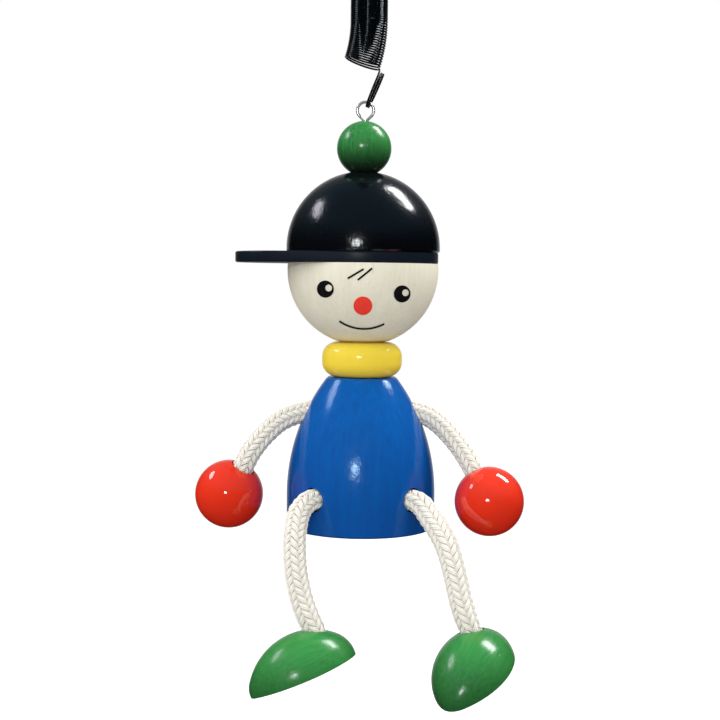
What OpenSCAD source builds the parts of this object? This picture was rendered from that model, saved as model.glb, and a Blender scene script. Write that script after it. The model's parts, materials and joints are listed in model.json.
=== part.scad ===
// Wooden figure that swings and bounces on a long wire spring.
// Millimetres, Z up. The face looks along -Y. The origin is the bearing point inside the top
// loop, where the toy hangs. "left" and "right" are the figure's own sides, so left is +X.

/* [Torso] */
// Diameter of the torso at its foot
torso_d = 49.5; // [46:0.5:56]
// Height of the torso
torso_h = 50; // [46:0.5:60]
// Diameter of the torso where the collar stands on it
torso_top_d = 22.8; // [20:0.2:28]
// Height at which the side starts to close in
torso_belly_z = 10.8; // [6:0.2:14]
// Chamfer on turned edges
edge_break = 0.6; // [0.2:0.1:1]
// Height of the arm holes above the torso's base
arm_hole_z = 38; // [34:0.5:40]
// Fall of the arm holes towards their mouths, in degrees
arm_hole_fall = 15; // [0:1:25]
// Depth of the arm holes
arm_hole_depth = 10; // [7:0.5:11]
// Height of the leg holes above the torso's base
leg_hole_z = 11.5; // [10:0.5:18]
// Depth of the leg holes
leg_hole_depth = 12; // [8:0.5:13]
// Turn of the leg holes away from straight ahead, in degrees
leg_hole_turn = 41; // [38:1:52]
// Turn of both leg holes towards the figure's left, in degrees
leg_hole_shift = 2.5; // [-3:0.5:3]

/* [Collar and head] */
// Diameter of the collar ring
collar_d = 26.6; // [24:0.2:32]
// Height of the collar ring
collar_h = 11.6; // [9:0.2:14]
// Rounding of the collar's edges
collar_edge_r = 4; // [2:0.25:4.25]
// Diameter of the short neck under the head
neck_d = 15; // [13:0.5:16]
// Height of the neck that shows
neck_h = 0.4; // [0.4:0.1:3]
// Diameter of the head ball
head_d = 50; // [46:0.5:56]
// Diameter of the flat under the head
chin_flat_d = 17.6; // [16.2:0.2:20]
// Height of the brim's underside above the ball's centre
brow_z = 2.2; // [0:0.2:5]

/* [Cap] */
// Thickness of the brim board
brim_t = 3.6; // [2.5:0.1:5]
// Chamfer on the brim's edges
brim_edge = 0.7; // [0.3:0.1:1.1]
// Distance that the brim's round part stays back from the side of the head
brim_set_back = 0.1; // [0:0.05:0.5]
// Distance that the visor stands out past the round part
visor_reach = 17.4; // [14:0.2:24]
// Diameter of the visor's round end
visor_d = 38; // [30:0.5:44]
// Distance that the cap stands out past the side of the head
cap_overhang = 0.4; // [0:0.05:1]
// Height of the straight rim under the dome
cap_rim_h = 1.3; // [1:0.1:6]
// Diameter of the pompom ball
pompom_d = 18; // [16.5:0.5:24]
// Depth that the pompom sits in the top of the cap
pompom_sink = 1.5; // [0.9:0.1:3]
// Gap between the pompom and its seat in the cap
pompom_seat_gap = 0.05; // [0.02:0.01:0.1]

/* [Dowel and screw eye] */
// Diameter of the dowel that holds the stack together
dowel_d = 6; // [5:0.5:6.5]
// Difference between a dowel bore and the dowel, for glue
dowel_fit = 0.1; // [0.06:0.02:0.2]
// Length of the dowel inside the torso
dowel_in_torso = 18; // [12:0.5:22]
// Length of the dowel inside the pompom
dowel_in_pompom = 6; // [4:0.5:6]
// Wire of the screw eye
eye_wire = 1; // [0.8:0.05:1.1]
// Mean diameter of the eye
eye_ring_d = 5.4; // [4.6:0.1:7]
// Diameter of the screw
screw_d = 1.3; // [1:0.1:2]
// Depth of the screw in the pompom
screw_depth = 9; // [6:0.5:9]
// Play between the lower loop and the top of the eye
eye_play = 0.6; // [0.55:0.05:0.8]

/* [Spring] */
// Outer diameter of the coil
spring_d = 12.4; // [10:0.1:14]
// Wire of the spring
spring_wire = 0.65; // [0.5:0.05:0.8]
// Length of the coil between its two end loops
coil_len = 72; // [50:1:80]
// Least gap between curls, on the inside of the bent ends
curl_gap = 0.45; // [0.42:0.01:0.6]
// Bend of the coil at each end, in degrees
end_bend = 18; // [5:1:25]
// Length of coil that takes up the bend
end_bend_len = 14; // [8:0.5:18]
// Turns in each end loop
loop_turns = 2; // [1:1:2]
// Lean of the end loops away from upright, in degrees
loop_lean = 23; // [15:1:30]
// Extra reach of a loop where it leaves the coil
loop_lead = 1; // [0.5:0.1:2]
// Gap between the end of the coil and the loop that goes on from it
wire_gap = 0.1; // [0.05:0.01:0.2]

/* [Ropes] */
// Diameter of the limb ropes
rope_d = 7; // [5:0.25:8]
// Difference between a rope's hole and the rope
rope_hole_play = 1; // [0.8:0.1:2]
// Gap left behind a rope's end in its hole
rope_end_gap = 0.1; // [0.05:0.05:0.5]

/* [Hands and feet] */
// Diameter of the hand balls
hand_d = 22.5; // [18:0.5:28]
// Depth of the rope hole in a hand
hand_hole_depth = 9; // [6:0.5:11]
// Width of a foot
foot_w = 25; // [20:0.5:32]
// Length of a foot from its widest place to the heel
foot_heel_len = 17; // [15:0.25:22]
// Length of a foot from its widest place to the toe
foot_toe_len = 18; // [16:0.25:26]
// Radius of the round heel
foot_heel_r = 9.6; // [7:0.1:9.9]
// Radius of the round toe
foot_toe_r = 6.4; // [4:0.1:9]
// Distance of the flat sole below the foot's widest line
foot_sole_drop = 0.7; // [0:0.1:1.5]
// Distance of the rope hole behind the foot's widest place
foot_hole_back = 7.5; // [5:0.25:8]
// Depth of the rope hole in a foot
foot_hole_depth = 8; // [6:0.25:8.5]
// Way that the right foot's toe points, in degrees from +X
right_foot_heading = 196; // [170:1:250]
// Way that the left foot's toe points, in degrees from +X
left_foot_heading = 237; // [190:1:280]

/* [Face] */
// Thickness of the printed ink
ink_t = 0.15; // [0.1:0.01:0.3]
// Lean of the printed face, in degrees
face_tilt = 3; // [-5:0.5:5]
// Shift of the printed face towards the figure's left
face_shift = 0.7; // [-2:0.1:2]
// Distance between the eyes
eye_spacing = 24.4; // [18:0.2:28]
// Depth of the eyes below the ball's centre
eye_drop = 6.9; // [4:0.1:9]
// Diameter of a printed eye
pupil_d = 5.4; // [4:0.1:7]
// Diameter of the bare spot in a printed eye
glint_d = 2.2; // [1:0.1:2.6]
// Diameter of the printed nose
nose_d = 5.9; // [4:0.1:8]
// Depth of the nose below the ball's centre
nose_drop = 11.4; // [9:0.1:14]
// Radius of the mouth's line
mouth_r = 13.7; // [10:0.1:20]
// Width of the mouth
mouth_w = 14.4; // [8:0.2:18]
// Depth of the mouth's lowest point below the ball's centre
mouth_drop = 18.9; // [17:0.1:20]
// Width of the mouth's line and of the fringe strokes
stroke = 0.6; // [0.4:0.05:1]
// Length of a fringe stroke
fringe_len = 5.8; // [3:0.2:8]

/* [Hidden] */
$fn = 96;
side_fn = 192;
wire_sides = 6;
rope_sides = 12;
rings_per_curl = 8;
rings_per_loop = 24;
rings_per_span = 2;
cut_over = 1;

// Heights above the torso's base, each piece standing on the one below
collar_z = torso_h;
neck_z = collar_z + collar_h;
chin_z = neck_z + neck_h;
head_r = head_d / 2;
head_z = chin_z + sqrt(pow(head_r, 2) - pow(chin_flat_d / 2, 2));
brim_z = head_z + brow_z;
brim_r = head_r - brim_set_back;
cap_z = brim_z + brim_t;
dome_z = cap_z + cap_rim_h;
cap_r = head_r + cap_overhang;
pompom_r = pompom_d / 2;
pompom_z = dome_z + cap_r + pompom_r - pompom_sink;
dowel_bottom_z = torso_h - dowel_in_torso;
dowel_top_z = pompom_z - pompom_r + dowel_in_pompom;
dowel_bore_d = dowel_d + dowel_fit;

// The eye stands on the pompom, and the lower loop hangs just under the top of it
eye_r = eye_ring_d / 2;
eye_x = 0.3;
eye_leg_turn = 45;
eye_into_ball = 0.3;
eye_leg_thinner = 0.02;
eye_z = pompom_z + pompom_r + eye_r / cos(eye_leg_turn) - eye_into_ball;
screw_bottom_z = pompom_z + pompom_r - screw_depth;
screw_fit = 0.04;
eye_seat_gap = 0.1;
eye_seat_depth = max(eye_seat_gap / 2, eye_into_ball + eye_seat_gap
    + (eye_wire - eye_leg_thinner) / sqrt(2) - (screw_d + screw_fit) / 2);
tip_x = eye_x + 0.35;
tip_z = eye_z + eye_r - eye_wire / 2 - spring_wire / 2 - eye_play;

// The spring's own line: loop, bent end, straight coil, bent end, loop
spring_r = (spring_d - spring_wire) / 2;
bend_r = end_bend_len / (end_bend * PI / 180);
curls = floor(coil_len * (1 - spring_r / bend_r) / (spring_wire + curl_gap));
loop_down = [-sin(loop_lean), 0, -cos(loop_lean)];
loop_across = [cos(loop_lean), 0, -sin(loop_lean)];
loop_len = loop_turns * (spring_wire + curl_gap);
loop_centre = [tip_x, 0, tip_z] - spring_r * loop_down;
loop_start = loop_centre - (spring_r + loop_lead) * loop_down - loop_len / 2 * loop_across;
coil_end = loop_start - spring_r * [cos(end_bend), 0, -sin(end_bend)];
coil_x = coil_end[0] + bend_r * (1 - cos(end_bend));
straight_len = coil_len - 2 * end_bend_len;
coil_mid_z = coil_end[2] + bend_r * sin(end_bend) + straight_len / 2;
hang_at = [tip_x, 0, 2 * coil_mid_z - tip_z - spring_wire / 2];

// Holes for the ropes
rope_hole_d = rope_d + rope_hole_play;
torso_taper = (torso_d - torso_top_d) / 2;
torso_side_r = (pow(torso_h - torso_belly_z, 2) + pow(torso_taper, 2)) / (2 * torso_taper);
function torso_r(z) = torso_d / 2 - torso_side_r
    + sqrt(pow(torso_side_r, 2) - pow(max(z - torso_belly_z, 0), 2));
function mirrored_x(v) = [-v[0], v[1], v[2]];
arm_out = [cos(arm_hole_fall), 0, -sin(arm_hole_fall)];
arm_mouth = [torso_r(arm_hole_z), 0, arm_hole_z];
function leg_out(turn) = [sin(turn), -cos(turn), 0];
left_leg_out = leg_out(leg_hole_turn + leg_hole_shift);
right_leg_out = leg_out(leg_hole_shift - leg_hole_turn);
left_leg_mouth = torso_r(leg_hole_z) * left_leg_out + [0, 0, leg_hole_z];
right_leg_mouth = torso_r(leg_hole_z) * right_leg_out + [0, 0, leg_hole_z];
lead_in = 3;

// Routes of the ropes from the mouth of the hole in the torso to the mouth of the hole in
// the hand or foot, and the direction in which each one enters that piece
left_arm_route = [[0, 0, 0], [4, -0.7, -1.3], [7.9, -2.6, -4], [11.5, -5.2, -7.6],
                  [14.7, -8.2, -11.6], [16.8, -10.4, -14.9], [18.1, -11.7, -17.4]];
left_arm_into = [0.43, -0.3, -0.85];
right_arm_route = [[0, 0, 0], [-4.3, -0.5, -1.2], [-8.5, -1.9, -3.1], [-12.1, -3.8, -6.1],
                   [-15.1, -5.5, -9.3], [-17.8, -6.8, -13.1], [-19.8, -7.3, -17.2]];
right_arm_into = [-0.45, 0.2, -0.87];
left_leg_route = [[0, 0, 0], [2.4, -2.75, -1], [5.1, -5.45, -4.3], [7.9, -8.35, -8.3],
                  [10.3, -11.35, -12.9], [12.4, -14.35, -20], [14.3, -16.75, -28.1],
                  [15.8, -17.85, -33.1], [17.4, -18.15, -36.8]];
left_leg_into = [0.38, 0.2, -0.9];
right_leg_route = [[0, 0, 0], [-2.2, -2.6, -0.8], [-4.2, -5.6, -3.7], [-5, -8.4, -8],
                   [-5.2, -10.9, -12.5], [-4.6, -13.4, -19.9], [-2.7, -15.4, -28.1],
                   [-0.6, -16.6, -33.4], [1.3, -17, -37.2]];
right_leg_into = [0.37, -0.09, -0.93];

// Vectors and paths
function unit(v) = v / norm(v);
function last(list) = list[len(list) - 1];
function curve_point(a, b, c, d, t) =
    0.5 * (2 * b + (c - a) * t + (2 * a - 5 * b + 4 * c - d) * t * t
           + (3 * b - a - 3 * c + d) * t * t * t);
function smooth_line(p, n) = concat(
    [for (i = [0 : len(p) - 2], j = [0 : n - 1])
        curve_point(p[max(i - 1, 0)], p[i], p[i + 1], p[min(i + 2, len(p) - 1)], j / n)],
    [last(p)]);
function tangent(p, i) = unit(p[min(i + 1, len(p) - 1)] - p[max(i - 1, 0)]);
function square_to(v, along) = unit(v - (v * along) * along);
function standing(point, up, heading) =
    let (x = square_to([cos(heading), sin(heading), 0], up), y = cross(up, x))
    [[x[0], y[0], up[0], point[0]], [x[1], y[1], up[1], point[1]],
     [x[2], y[2], up[2], point[2]], [0, 0, 0, 1]];

// A round tube: its centre points, the way it runs and a side vector at each point
function ring(centre, along, side, r, n) =
    [for (k = [0 : n - 1]) centre + r * (cos(360 * k / n) * side
                                         + sin(360 * k / n) * cross(along, side))];
module tube(centres, alongs, sides, d, n) {
    m = len(centres);
    points = [for (i = [0 : m - 1]) each ring(centres[i], alongs[i], sides[i], d / 2, n)];
    walls = [for (i = [0 : m - 2], k = [0 : n - 1])
        let (a = i * n + k, b = i * n + (k + 1) % n)
        each [[a, a + n, b], [a + n, b + n, b]]];
    start = [for (k = [1 : n - 2]) [0, k, k + 1]];
    end = [for (k = [1 : n - 2]) [(m - 1) * n, (m - 1) * n + k + 1, (m - 1) * n + k]];
    polyhedron(points, concat(start, walls, end));
}

// Least gap of a wound tube to itself, from the points of its own centre line
function least_gap(p, d, per_turn) = min([for (i = [0 : len(p) - 1],
    j = [i + floor(per_turn / 2) : min(i + 2 * per_turn, len(p) - 1)]) norm(p[j] - p[i])]) - d;

// The coil's middle line runs down from s = 0, with an arc at each end that leans to one side
function coil_lean(s) = s < end_bend_len ? end_bend * (1 - s / end_bend_len)
    : s > coil_len - end_bend_len ? end_bend * ((coil_len - s) / end_bend_len - 1) : 0;
function coil_middle(s) = let (lean = coil_lean(s), run = bend_r * sin(lean))
    [coil_x - bend_r * (1 - cos(lean)), 0,
     lean > 0 ? coil_mid_z + straight_len / 2 + run
     : lean < 0 ? coil_mid_z - straight_len / 2 + run : coil_mid_z + coil_len / 2 - s];
coil_steps = curls * rings_per_curl;
coil_sides = [for (i = [0 : coil_steps])
    let (lean = coil_lean(i / coil_steps * coil_len), turn = 360 * i / rings_per_curl)
    [cos(turn) * cos(lean), -sin(turn), cos(turn) * sin(lean)]];
coil_wire = [for (i = [0 : coil_steps])
    coil_middle(i / coil_steps * coil_len) + spring_r * coil_sides[i]];

// A loop starts beside the end of the coil, at its highest point, and winds away from the coil
loop_steps = loop_turns * rings_per_loop;
function loop_reach(turn) = spring_r + (turn < 90 ? loop_lead * pow(cos(turn), 2) : 0);
loop_sides = [for (i = [0 : loop_steps]) let (turn = 360 * i / rings_per_loop)
    -cos(turn) * loop_down - [0, sin(turn), 0]];
loop_wire = [for (i = [0 : loop_steps]) loop_centre
    + (i / loop_steps - 0.5) * loop_len * loop_across
    + loop_reach(360 * i / rings_per_loop) * loop_sides[i] - [0, wire_gap, 0]];

echo(str("Least gap of the coil to itself: ", least_gap(coil_wire, spring_wire, rings_per_curl)));
echo(str("Least gap of a loop to itself: ", least_gap(loop_wire, spring_wire, rings_per_loop)));

// A rope from the bottom of its hole in the torso to the bottom of its hole in the hand or foot
function rope_line(out, route, into, hole_depth, far_depth) = smooth_line(concat(
    [-(hole_depth - rope_end_gap) * out, -lead_in * out], route,
    [last(route) + lead_in * into, last(route) + (far_depth - rope_end_gap) * into]),
    rings_per_span);
left_arm_line = rope_line(arm_out, left_arm_route, left_arm_into,
    arm_hole_depth, hand_hole_depth);
right_arm_line = rope_line(mirrored_x(arm_out), right_arm_route, right_arm_into,
    arm_hole_depth, hand_hole_depth);
left_leg_line = rope_line(left_leg_out, left_leg_route, left_leg_into,
    leg_hole_depth, foot_hole_depth);
right_leg_line = rope_line(right_leg_out, right_leg_route, right_leg_into,
    leg_hole_depth, foot_hole_depth);
function sum(list, i = 0) = i < len(list) ? list[i] + sum(list, i + 1) : 0;
function path_length(p) = sum([for (i = [1 : len(p) - 1]) norm(p[i] - p[i - 1])]);
echo(str("Rope lengths, arms then legs: ", [for (line = [left_arm_line, right_arm_line,
    left_leg_line, right_leg_line]) path_length(line)]));

// Egg profile of a foot, drawn along X: each half has a side curve that runs on into a round
// end, and both side curves are level where they meet at the widest place
function foot_side_drop(reach, end_r) = let (slim = foot_w / 2 - end_r)
    (pow(reach - end_r, 2) - pow(slim, 2)) / (2 * slim);
foot_hole_height = let (drop = foot_side_drop(foot_heel_len, foot_heel_r))
    sqrt(pow(foot_w / 2 + drop, 2) - pow(foot_hole_back, 2)) - drop;

// Everything is drawn with the torso's base at Z = 0 and then hung from the origin
module hung() { translate(-hang_at) children(); }

// A wound wire whose ends run straight along Y for one diameter
module wound_wire(points, sides) {
    last_i = len(points) - 1;
    end_along = [0, -1, 0];
    centres = [points[0], points[0] + spring_wire * end_along,
        each [for (i = [1 : last_i - 1]) points[i]],
        points[last_i] - spring_wire * end_along, points[last_i]];
    alongs = [end_along, end_along, each [for (i = [1 : last_i - 1]) tangent(points, i)],
        end_along, end_along];
    outs = [sides[0], each sides, sides[last_i]];
    tube(centres, alongs, [for (i = [0 : len(outs) - 1]) square_to(outs[i], alongs[i])],
        spring_wire, wire_sides);
}

module spring_coil() { color("#161616") hung() wound_wire(coil_wire, coil_sides); }

module spring_bottom_loop() { color("#1c1c1c") hung() wound_wire(loop_wire, loop_sides); }

module spring_top_loop() {
    color("#1c1c1c") hung() translate([0, 0, 2 * coil_mid_z]) rotate([180, 0, 0])
        wound_wire(loop_wire, loop_sides);
}

module screw_eye() {
    color("#b9b6ae") hung() translate([eye_x, 0, 0]) {
        translate([0, 0, eye_z]) {
            rotate([90, 0, 0]) rotate([0, 0, -eye_leg_turn])
                rotate_extrude(angle = 180 + 2 * eye_leg_turn)
                    translate([eye_r, 0]) circle(d = eye_wire, $fn = 32);
            for (side = [-1, 1])
                rotate([0, side * eye_leg_turn, 0]) translate([side * eye_r, 0, -eye_r])
                    cylinder(d = eye_wire - eye_leg_thinner, h = eye_r + eye_wire / 4, $fn = 32);
        }
        translate([0, 0, screw_bottom_z])
            cylinder(d = screw_d, h = eye_z - eye_r / cos(eye_leg_turn) + eye_wire / 2
                - screw_bottom_z, $fn = 32);
    }
}

module pompom_ball() {
    color("#2f8a3c") hung() difference() {
        translate([0, 0, pompom_z]) sphere(d = pompom_d);
        translate([0, 0, pompom_z - pompom_r - cut_over])
            cylinder(d = dowel_bore_d, h = dowel_in_pompom + cut_over);
        translate([eye_x, 0, screw_bottom_z])
            cylinder(d = screw_d + screw_fit, h = screw_depth + cut_over, $fn = 32);
        translate([eye_x, 0, pompom_z + pompom_r - eye_seat_depth])
            cylinder(d1 = screw_d + screw_fit, d2 = screw_d + screw_fit + 2, h = 1, $fn = 32);
    }
}

module dowel_bore(from_z, to_z) {
    translate([0, 0, from_z - cut_over])
        cylinder(d = dowel_bore_d, h = to_z - from_z + 2 * cut_over);
}

module cap_dome() {
    color("#0b0d14") hung() difference() {
        translate([0, 0, cap_z]) rotate_extrude($fn = side_fn) {
            polygon([[0, 0], [cap_r - edge_break, 0], [cap_r, edge_break],
                     [cap_r, cap_rim_h], [0, cap_rim_h]]);
            translate([0, cap_rim_h]) intersection() {
                circle(r = cap_r, $fn = side_fn);
                square(cap_r);
            }
        }
        translate([0, 0, pompom_z]) sphere(r = pompom_r + pompom_seat_gap);
        dowel_bore(cap_z, pompom_z);
    }
}

// Half of the section of a board with chamfered edges, from its middle to its edge
module board_edge(reach) {
    polygon([[0, 0], [reach - brim_edge, 0], [reach, brim_edge],
             [reach, brim_t - brim_edge], [reach - brim_edge, brim_t], [0, brim_t]]);
}

// The brim is a disc and a smaller one ahead of it, joined by boards that run along the two
// lines that touch both discs
module cap_brim() {
    visor_r = visor_d / 2;
    visor_x = brim_r + visor_reach - visor_r;
    side_turn = asin((brim_r - visor_r) / visor_x);
    side_len = visor_x * cos(side_turn);
    color("#14171f") hung() difference() {
        translate([0, 0, brim_z]) {
            rotate_extrude($fn = side_fn) board_edge(brim_r);
            translate([-visor_x, 0, 0]) rotate_extrude($fn = side_fn) board_edge(visor_r);
            for (flip = [0, 1])
                mirror([0, flip, 0]) rotate([0, 0, side_turn]) translate([-side_len, 0, 0])
                    rotate([90, 0, 90]) linear_extrude(side_len) board_edge(brim_r);
        }
        dowel_bore(brim_z, cap_z);
    }
}

module head() {
    color("#e3d6b4") hung() difference() {
        union() {
            intersection() {
                translate([0, 0, head_z]) sphere(d = head_d, $fn = side_fn);
                translate([-head_r, -head_r, chin_z]) cube([head_d, head_d, brim_z - chin_z]);
            }
            translate([0, 0, neck_z]) cylinder(d = neck_d, h = neck_h + cut_over);
        }
        dowel_bore(neck_z, brim_z);
    }
}

// Ink on the front of the head: a flat shape, printed straight on from the front, below the brim
module printed() {
    hung() translate([0, 0, head_z]) difference() {
        intersection() {
            sphere(r = head_r + ink_t, $fn = side_fn);
            translate([-head_r, -head_d, brow_z - head_d]) cube([head_d, head_d, head_d]);
            rotate([0, face_tilt, 0]) translate([face_shift, 0, 0])
                rotate([90, 0, 0]) linear_extrude(head_d) children();
        }
        sphere(r = head_r, $fn = side_fn);
    }
}

module eye_shape(side) {
    glint_right = 1.05;
    glint_up = 0.43;
    translate([side * eye_spacing / 2, -eye_drop]) difference() {
        circle(d = pupil_d);
        translate([glint_right, glint_up]) circle(d = glint_d);
    }
}

module left_eye_print() { color("#151310") printed() eye_shape(1); }
module right_eye_print() { color("#151310") printed() eye_shape(-1); }
module nose_print() {
    color("#d8402c") printed() translate([0, -nose_drop]) circle(d = nose_d);
}

module mouth_print() {
    half_turn = asin(mouth_w / 2 / mouth_r);
    reach = mouth_r + 2 * stroke;
    color("#151310") printed() translate([0, mouth_r - mouth_drop]) intersection() {
        difference() {
            circle(r = mouth_r + stroke / 2);
            circle(r = mouth_r - stroke / 2);
        }
        polygon([[0, 0], [-reach * tan(half_turn), -reach], [reach * tan(half_turn), -reach]]);
    }
}

// A short stroke of hair, from its foot across and below the ball's centre
module fringe_stroke(across, below, lean) {
    color("#151310") printed() translate([across, -below]) rotate(-lean)
        translate([-stroke / 2, 0]) square([stroke, fringe_len]);
}
module left_fringe_print() { fringe_stroke(-2.1, 3.4, 47); }
module right_fringe_print() { fringe_stroke(-5.3, 3.1, 56); }

module collar_ring() {
    flat_r = collar_d / 2 - collar_edge_r;
    color("#e7c21e") hung() translate([0, 0, collar_z]) rotate_extrude() difference() {
        union() {
            square([flat_r, collar_h]);
            translate([0, collar_edge_r])
                square([collar_d / 2, collar_h - 2 * collar_edge_r]);
            for (z = [collar_edge_r, collar_h - collar_edge_r])
                translate([flat_r, z]) circle(r = collar_edge_r);
        }
        translate([-collar_d, -cut_over])
            square([collar_d + dowel_bore_d / 2, collar_h + 2 * cut_over]);
    }
}

// A hole for a rope, drawn from its bottom to well outside its mouth
module rope_hole(mouth, out, depth) {
    multmatrix(standing(mouth - depth * out, out, 90 + atan2(out[1], out[0])))
        cylinder(d = rope_hole_d, h = depth + rope_hole_d);
}

module torso() {
    shoulder_r = torso_top_d / 2;
    color("#1557a8") hung() difference() {
        rotate_extrude() difference() {
            intersection() {
                union() {
                    translate([torso_d / 2 - torso_side_r, torso_belly_z])
                        circle(r = torso_side_r, $fn = side_fn);
                    square([torso_d / 2, torso_belly_z]);
                }
                square([torso_d / 2, torso_h]);
            }
            polygon([[torso_d / 2 - edge_break, 0], [torso_d / 2, edge_break],
                     [torso_d, edge_break], [torso_d, -1], [torso_d / 2 - edge_break, -1]]);
            polygon([[shoulder_r - edge_break / 2, torso_h], [shoulder_r + 1, torso_h - 1],
                     [shoulder_r + 1, torso_h + 1], [shoulder_r - edge_break / 2, torso_h + 1]]);
        }
        translate([0, 0, dowel_bottom_z]) cylinder(d = dowel_bore_d, h = dowel_in_torso + cut_over);
        rope_hole(arm_mouth, arm_out, arm_hole_depth);
        rope_hole(mirrored_x(arm_mouth), mirrored_x(arm_out), arm_hole_depth);
        rope_hole(left_leg_mouth, left_leg_out, leg_hole_depth);
        rope_hole(right_leg_mouth, right_leg_out, leg_hole_depth);
    }
}

module spine_dowel() {
    color("#cdb98a") hung() translate([0, 0, dowel_bottom_z])
        cylinder(d = dowel_d, h = dowel_top_z - dowel_bottom_z);
}

module limb_rope(line, mouth, steady) {
    tangents = [for (i = [0 : len(line) - 1]) tangent(line, i)];
    sides = [for (t = tangents) square_to(steady, t)];
    color("#e9e4d6") hung() translate(mouth) tube(line, tangents, sides, rope_d, rope_sides);
}

module left_arm_rope() { limb_rope(left_arm_line, arm_mouth, [0, 1, 0]); }
module right_arm_rope() { limb_rope(right_arm_line, mirrored_x(arm_mouth), [0, 1, 0]); }
module left_leg_rope() { limb_rope(left_leg_line, left_leg_mouth, [1, 0, 0]); }
module right_leg_rope() { limb_rope(right_leg_line, right_leg_mouth, [1, 0, 0]); }

// A ball turned about the hole that takes the rope
module hand(mouth, into) {
    color("#d0311f") hung() multmatrix(standing(mouth, -into, 90))
        translate([0, 0, -hand_d / 2]) rotate_extrude() difference() {
            circle(d = hand_d);
            translate([-hand_d, -hand_d]) square([hand_d, 2 * hand_d]);
            translate([-cut_over, hand_d / 2 - hand_hole_depth])
                square([cut_over + rope_hole_d / 2, hand_d]);
        }
}

module left_hand() { hand(arm_mouth + last(left_arm_route), unit(left_arm_into)); }
module right_hand() { hand(mirrored_x(arm_mouth) + last(right_arm_route), unit(right_arm_into)); }

module foot_half(reach, end_r) {
    drop = foot_side_drop(reach, end_r);
    side_r = foot_w / 2 + drop;
    end_x = reach - end_r;
    translate([end_x, 0]) circle(r = end_r, $fn = side_fn);
    intersection() {
        translate([0, -drop]) circle(r = side_r, $fn = side_fn);
        square([end_x * side_r / (side_r - end_r), foot_w]);
    }
}

// A foot with its widest line at Z = 0, its toe along +X and its widest place at X = 0. The
// egg is turned so that its seam lies on one side, clear of the sole and of the hole.
module foot_body() {
    length = foot_heel_len + foot_toe_len;
    seam_turn = 120;
    difference() {
        rotate([seam_turn, 0, 0]) rotate([0, 90, 0]) rotate_extrude() rotate(90) intersection() {
            union() {
                foot_half(foot_toe_len, foot_toe_r);
                mirror([1, 0]) foot_half(foot_heel_len, foot_heel_r);
            }
            translate([-foot_heel_len, 0]) square([length, foot_w]);
        }
        translate([-foot_heel_len - 1, -foot_w, -foot_sole_drop - foot_w])
            cube([length + 2, 2 * foot_w, foot_w]);
        translate([-foot_hole_back, 0, foot_hole_height - foot_hole_depth])
            cylinder(d = rope_hole_d, h = foot_w);
    }
}

module foot(mouth, into, heading) {
    color("#2c8a3a") hung() multmatrix(standing(mouth, -into, heading))
        translate([foot_hole_back, 0, -foot_hole_height]) foot_body();
}

module left_foot() {
    foot(left_leg_mouth + last(left_leg_route), unit(left_leg_into), left_foot_heading);
}
module right_foot() {
    foot(right_leg_mouth + last(right_leg_route), unit(right_leg_into), right_foot_heading);
}

spring_top_loop();
spring_coil();
spring_bottom_loop();
screw_eye();
pompom_ball();
cap_dome();
cap_brim();
head();
left_eye_print();
right_eye_print();
nose_print();
mouth_print();
left_fringe_print();
right_fringe_print();
collar_ring();
torso();
spine_dowel();
left_arm_rope();
left_hand();
right_arm_rope();
right_hand();
left_leg_rope();
left_foot();
right_leg_rope();
right_foot();
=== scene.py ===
import json
import math
import bmesh
import bpy
import numpy as np
from mathutils import Euler, Matrix, Vector


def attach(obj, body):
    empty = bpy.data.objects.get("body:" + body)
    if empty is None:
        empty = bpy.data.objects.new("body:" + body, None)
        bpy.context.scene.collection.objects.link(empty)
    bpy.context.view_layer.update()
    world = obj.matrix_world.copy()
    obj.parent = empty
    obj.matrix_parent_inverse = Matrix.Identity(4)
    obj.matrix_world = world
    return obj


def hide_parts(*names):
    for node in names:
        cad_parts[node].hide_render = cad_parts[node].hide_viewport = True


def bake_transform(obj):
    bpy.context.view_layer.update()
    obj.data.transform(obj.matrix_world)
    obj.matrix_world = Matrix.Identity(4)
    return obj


# Wooden figure on a long wire spring, hung from the origin. The face looks along -Y.
# Lengths in the dictionaries are millimetres and angles degrees, as in the part's source.
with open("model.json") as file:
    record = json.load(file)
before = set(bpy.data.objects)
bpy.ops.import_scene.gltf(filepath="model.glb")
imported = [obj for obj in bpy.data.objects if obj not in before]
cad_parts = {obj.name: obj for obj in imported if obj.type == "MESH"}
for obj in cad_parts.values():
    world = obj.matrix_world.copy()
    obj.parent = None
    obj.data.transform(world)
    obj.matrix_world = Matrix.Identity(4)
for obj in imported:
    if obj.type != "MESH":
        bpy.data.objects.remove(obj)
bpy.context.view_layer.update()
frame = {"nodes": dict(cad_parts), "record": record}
bpy.ops.object.select_all(action="DESELECT")
mm = 0.001
scene = bpy.context.scene
scene.view_settings.view_transform = "Standard"


# Places on the figure are measured from the middle of the torso's base, as in the part's source
def hung(x, y, z):
    return x - 0.65, y, z - 238.373


cameraSet = {
    "place": hung(0, -432.2, 81.94),
    "pitch": -3.5,
    "roll": 0.6,
    "lens": 64.95,
    "sensor": 36,
    "clip": 10,
    "shift": (-2 / 720, 0),  # two pixels of 720
}


def placeCamera(s):
    data = bpy.data.cameras.new("photoCamera")
    data.lens = s["lens"]
    data.sensor_width = s["sensor"]
    data.shift_x, data.shift_y = s["shift"]
    data.clip_start = s["clip"] * mm
    cam = bpy.data.objects.new("photoCamera", data)
    scene.collection.objects.link(cam)
    turn = Euler((math.radians(90 + s["pitch"]), 0, 0)).to_matrix()
    turn = turn @ Matrix.Rotation(math.radians(s["roll"]), 3, "Z")
    cam.location = Vector(s["place"]) * mm
    cam.rotation_euler = turn.to_euler()
    scene.camera = cam


placeCamera(cameraSet)
print("camera placed")


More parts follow.
